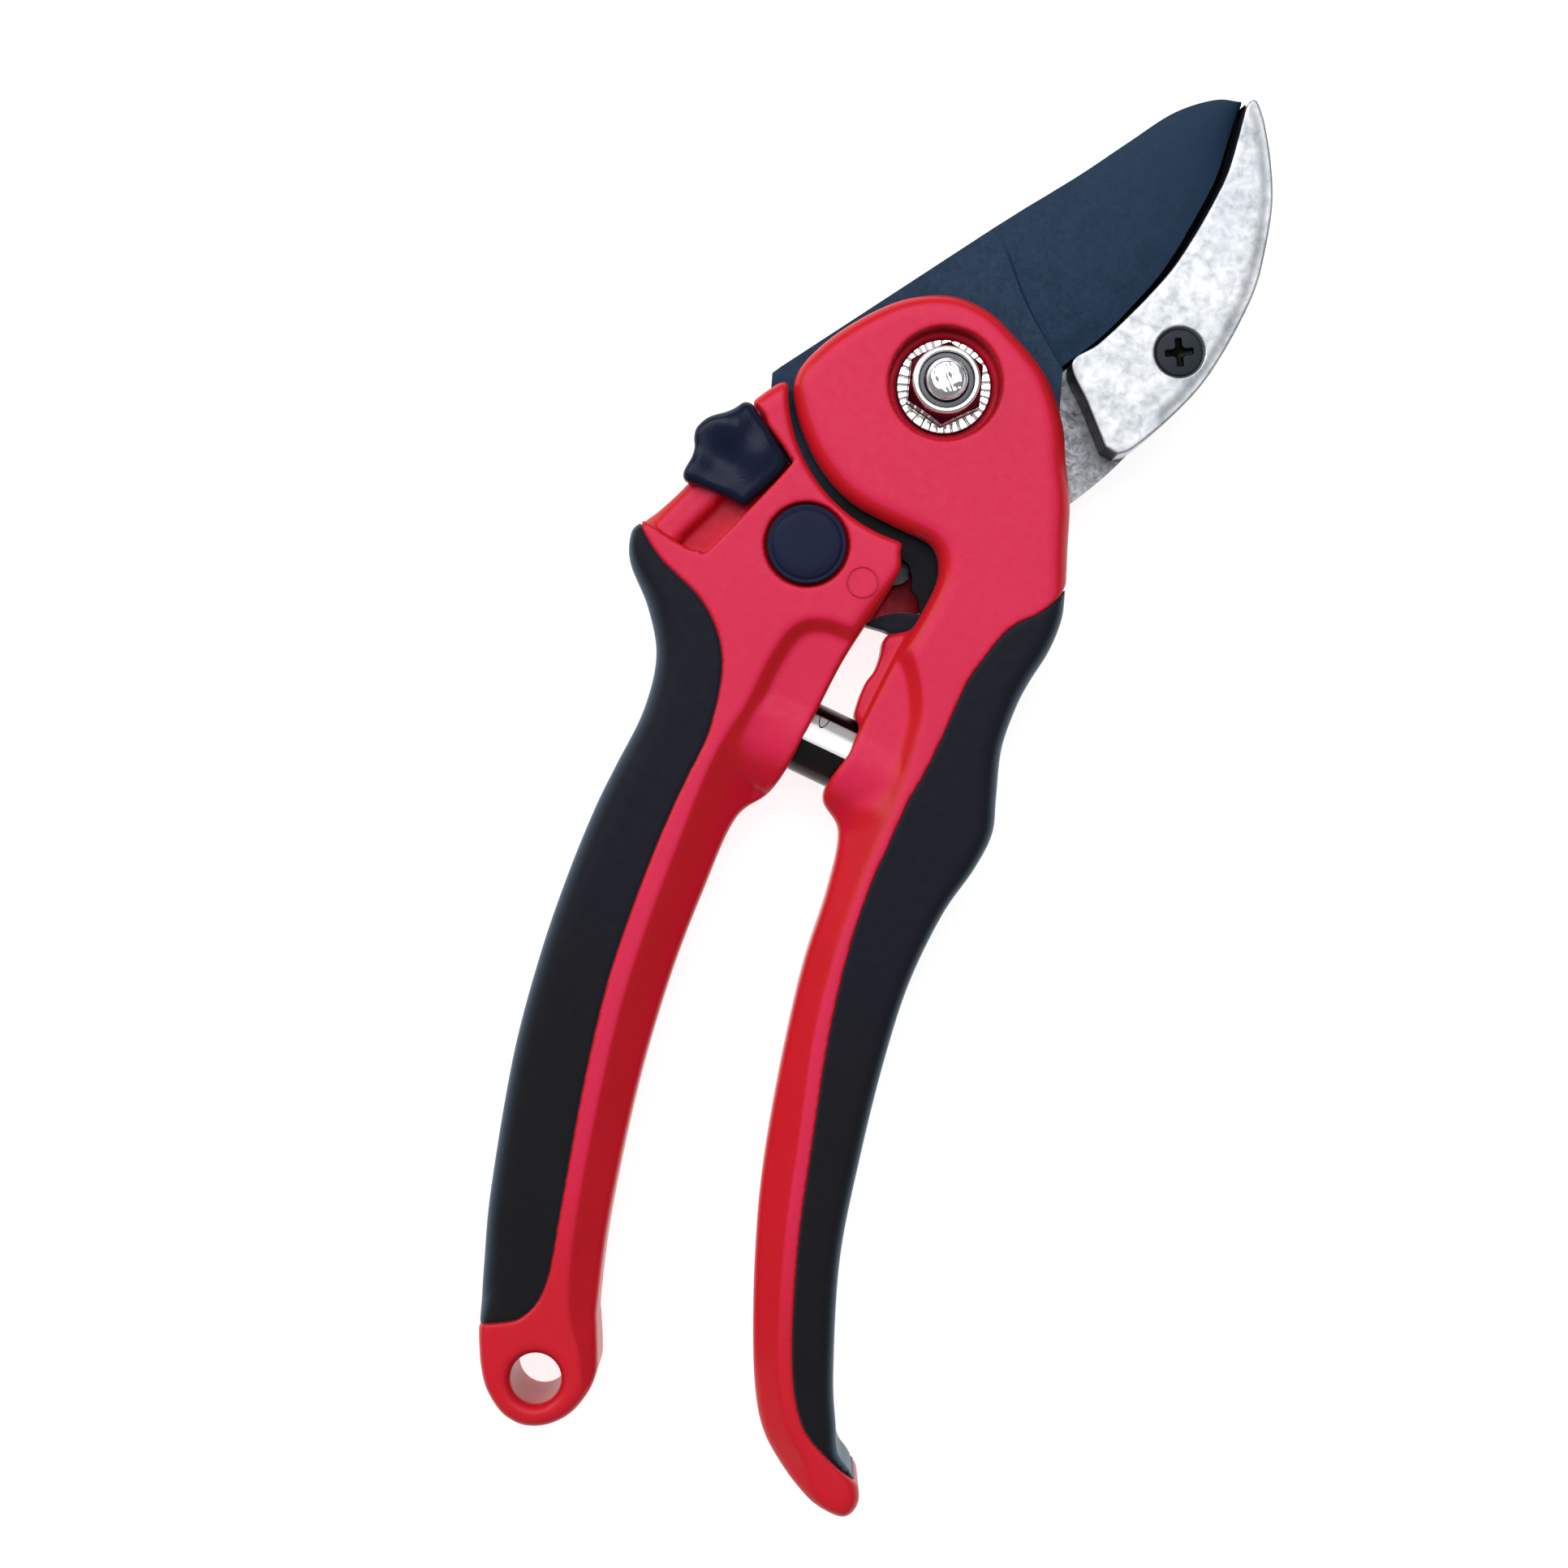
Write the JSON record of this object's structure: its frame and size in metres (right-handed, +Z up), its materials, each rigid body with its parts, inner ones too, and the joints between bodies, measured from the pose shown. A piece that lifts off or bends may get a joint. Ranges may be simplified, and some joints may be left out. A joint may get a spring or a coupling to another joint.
{
  "type": "pruning shears",
  "caption": "Hand pruning shears with two cushioned plastic handles crossing on a pivot bolt, a coated blade closing on a curved metal counter-jaw, a coiled strip spring and a thumb lock.",
  "frame": {"origin": "under the middle of the whole tool, in the plane of the handles' rear faces that it lies on", "axes": "+Y along the tool towards the tips, +Z up the pivot bolt towards the nut"},
  "size_m": [0.0748, 0.2066, 0.0203],
  "materials": {
    "red_plastic": "fine matt grain",
    "grip_rubber": "soft satin",
    "black_coating": "non-stick coating, satin",
    "cast_alloy": "tumbled, bright",
    "plain_steel": "mottled grey",
    "plated_steel": "bright plating",
    "spring_steel": "polished strip",
    "nylon": "grey nylon",
    "black_plastic": "glossy"
  },
  "bodies": {
    "blade_side": {"blade": "black_coating", "right_handle": "red_plastic", "right_grip": "grip_rubber", "pivot_bolt": "plated_steel", "pivot_nut": "plated_steel", "nut_nylon_insert": "nylon", "blade_rivet": "plain_steel", "rear_rivet_cap": "black_plastic", "rubber_bumper": "grip_rubber", "spring_outer_coil": "spring_steel"},
    "jaw_side": {"left_handle": "red_plastic", "left_grip": "grip_rubber", "jaw_plate": "plain_steel", "counter_jaw": "cast_alloy", "jaw_screw": "black_coating", "jaw_rivet": "plain_steel", "front_rivet_cap": "black_plastic", "spring_inner_coil": "spring_steel", "detent_ball": "plated_steel", "detent_spring": "spring_steel"},
    "lock": {"lock_slider": "black_plastic", "lock_bolt": "plain_steel"}
  },
  "joints": [
    {"name": "handle_pivot", "type": "hinge", "parent": "blade_side", "child": "jaw_side", "pos_m": [-0.0042, 0.0517, 0.008], "axis": [0, 0, -1], "range_deg": [0, 20], "deforming": ["spring_outer_coil", "spring_inner_coil"]},
    {"name": "lock_slide", "type": "slide", "parent": "jaw_side", "child": "lock", "axis": [-0.4226, -0.9063, 0], "range_m": [0, 0.0065]}
  ]
}
